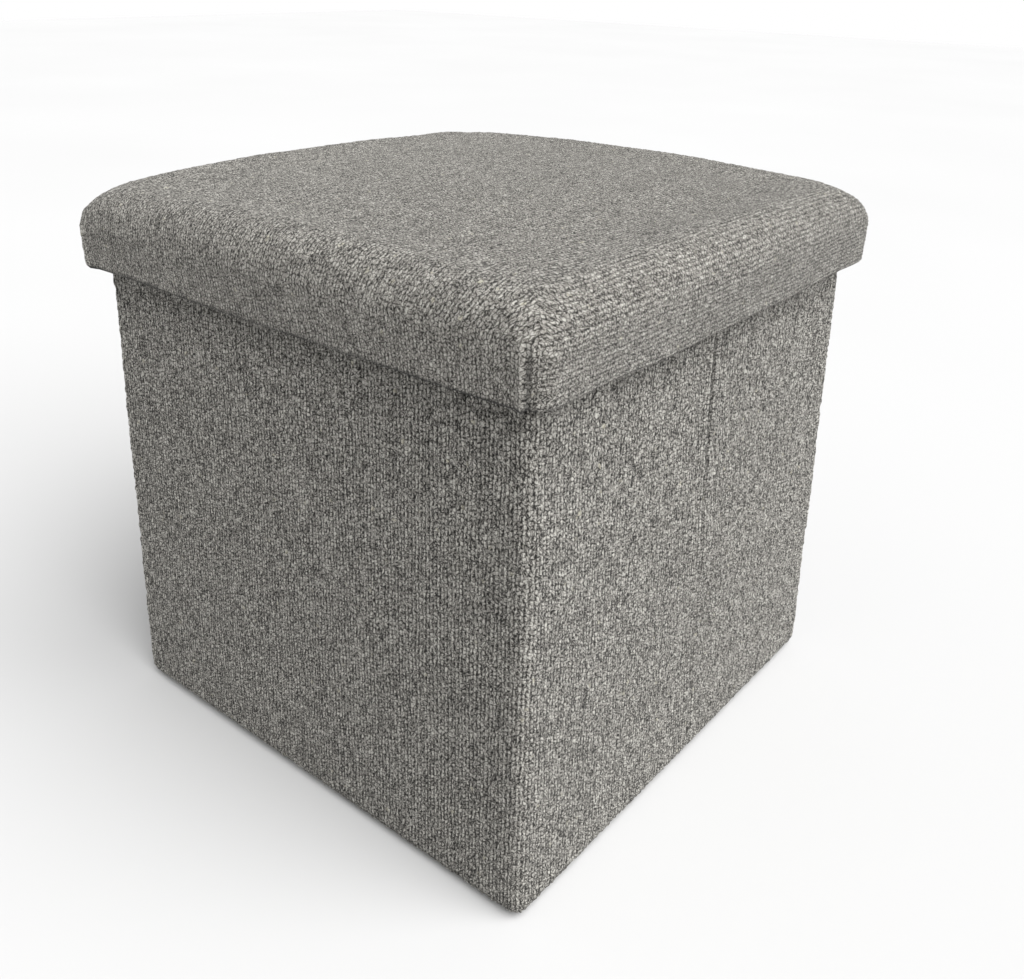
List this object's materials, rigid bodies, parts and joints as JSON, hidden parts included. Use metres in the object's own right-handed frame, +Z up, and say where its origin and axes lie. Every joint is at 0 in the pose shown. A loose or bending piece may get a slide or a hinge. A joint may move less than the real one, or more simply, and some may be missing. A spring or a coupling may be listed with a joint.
{
  "type": "storage ottoman",
  "caption": "Square cloth-covered folding ottoman: hinged wall leaves around a storage space, a lift-up base board, and a padded lift-off lid.",
  "frame": {"origin": "middle of the underside, on the floor", "axes": "+Z up; -Y towards the front, whose wall stays put when the body folds; +X towards the right side, whose wall is split by an upright crease"},
  "size_m": [0.385, 0.385, 0.38],
  "materials": {
    "cover_cloth": "matte",
    "lining_cloth": "matte",
    "board": "matte",
    "foam": "matte",
    "ribbon": "satin"
  },
  "bodies": {
    "front_wall": {"front_board": "board", "front_cover": "cover_cloth", "front_lining": "lining_cloth", "bottom_hem": "cover_cloth", "bottom_cloth": "lining_cloth"},
    "right_front_leaf": {"right_front_board": "board", "right_front_cover": "cover_cloth", "right_front_lining": "lining_cloth"},
    "right_rear_leaf": {"right_rear_board": "board", "right_rear_cover": "cover_cloth", "right_rear_lining": "lining_cloth"},
    "back_wall": {"back_board": "board", "back_cover": "cover_cloth", "back_lining": "lining_cloth"},
    "left_front_leaf": {"left_front_board": "board", "left_front_cover": "cover_cloth", "left_front_lining": "lining_cloth"},
    "left_rear_leaf": {"left_rear_board": "board", "left_rear_cover": "cover_cloth", "left_rear_lining": "lining_cloth"},
    "base": {"base_board": "board", "base_cloth": "lining_cloth", "base_hinge_tape": "ribbon", "base_pull_tab": "ribbon"},
    "lid": {"lid_board": "board", "lid_foam": "foam", "lid_rim_front": "board", "lid_rim_back": "board", "lid_rim_left": "board", "lid_rim_right": "board", "lid_cover": "cover_cloth", "lid_lining": "lining_cloth"}
  },
  "joints": [
    {"name": "body_fold", "type": "hinge", "parent": "front_wall", "child": "right_front_leaf", "pos_m": [0.1701, -0.1643, 0], "axis": [0, 0, 1], "range_deg": [0, 90], "deforming": ["bottom_hem", "bottom_cloth"]},
    {"name": "right_middle_fold", "type": "hinge", "parent": "right_front_leaf", "child": "right_rear_leaf", "pos_m": [0.1788, 0, 0], "axis": [0, 0, 1], "range_deg": [-180, 0]},
    {"name": "right_rear_fold", "type": "hinge", "parent": "right_rear_leaf", "child": "back_wall", "pos_m": [0.1701, 0.1643, 0], "axis": [0, 0, 1], "range_deg": [0, 90]},
    {"name": "left_front_fold", "type": "hinge", "parent": "front_wall", "child": "left_front_leaf", "pos_m": [-0.1701, -0.1643, 0], "axis": [0, 0, 1], "range_deg": [-90, 0]},
    {"name": "left_middle_fold", "type": "hinge", "parent": "left_front_leaf", "child": "left_rear_leaf", "pos_m": [-0.1788, 0, 0], "axis": [0, 0, 1], "range_deg": [0, 180]},
    {"name": "base_board_lift", "type": "hinge", "parent": "front_wall", "child": "base", "pos_m": [0, -0.1686, 0.0051], "axis": [1, 0, 0], "range_deg": [0, 90], "deforming": ["base_hinge_tape"]},
    {"name": "lid_lift", "type": "slide", "parent": "front_wall", "child": "lid", "axis": [0, 0, 1], "range_m": [0, 0.15]}
  ],
  "couplings": [
    {"joint": "right_middle_fold", "follows": "body_fold", "ratio": -2},
    {"joint": "right_rear_fold", "follows": "body_fold", "ratio": 1},
    {"joint": "left_front_fold", "follows": "body_fold", "ratio": -1},
    {"joint": "left_middle_fold", "follows": "body_fold", "ratio": 2}
  ]
}
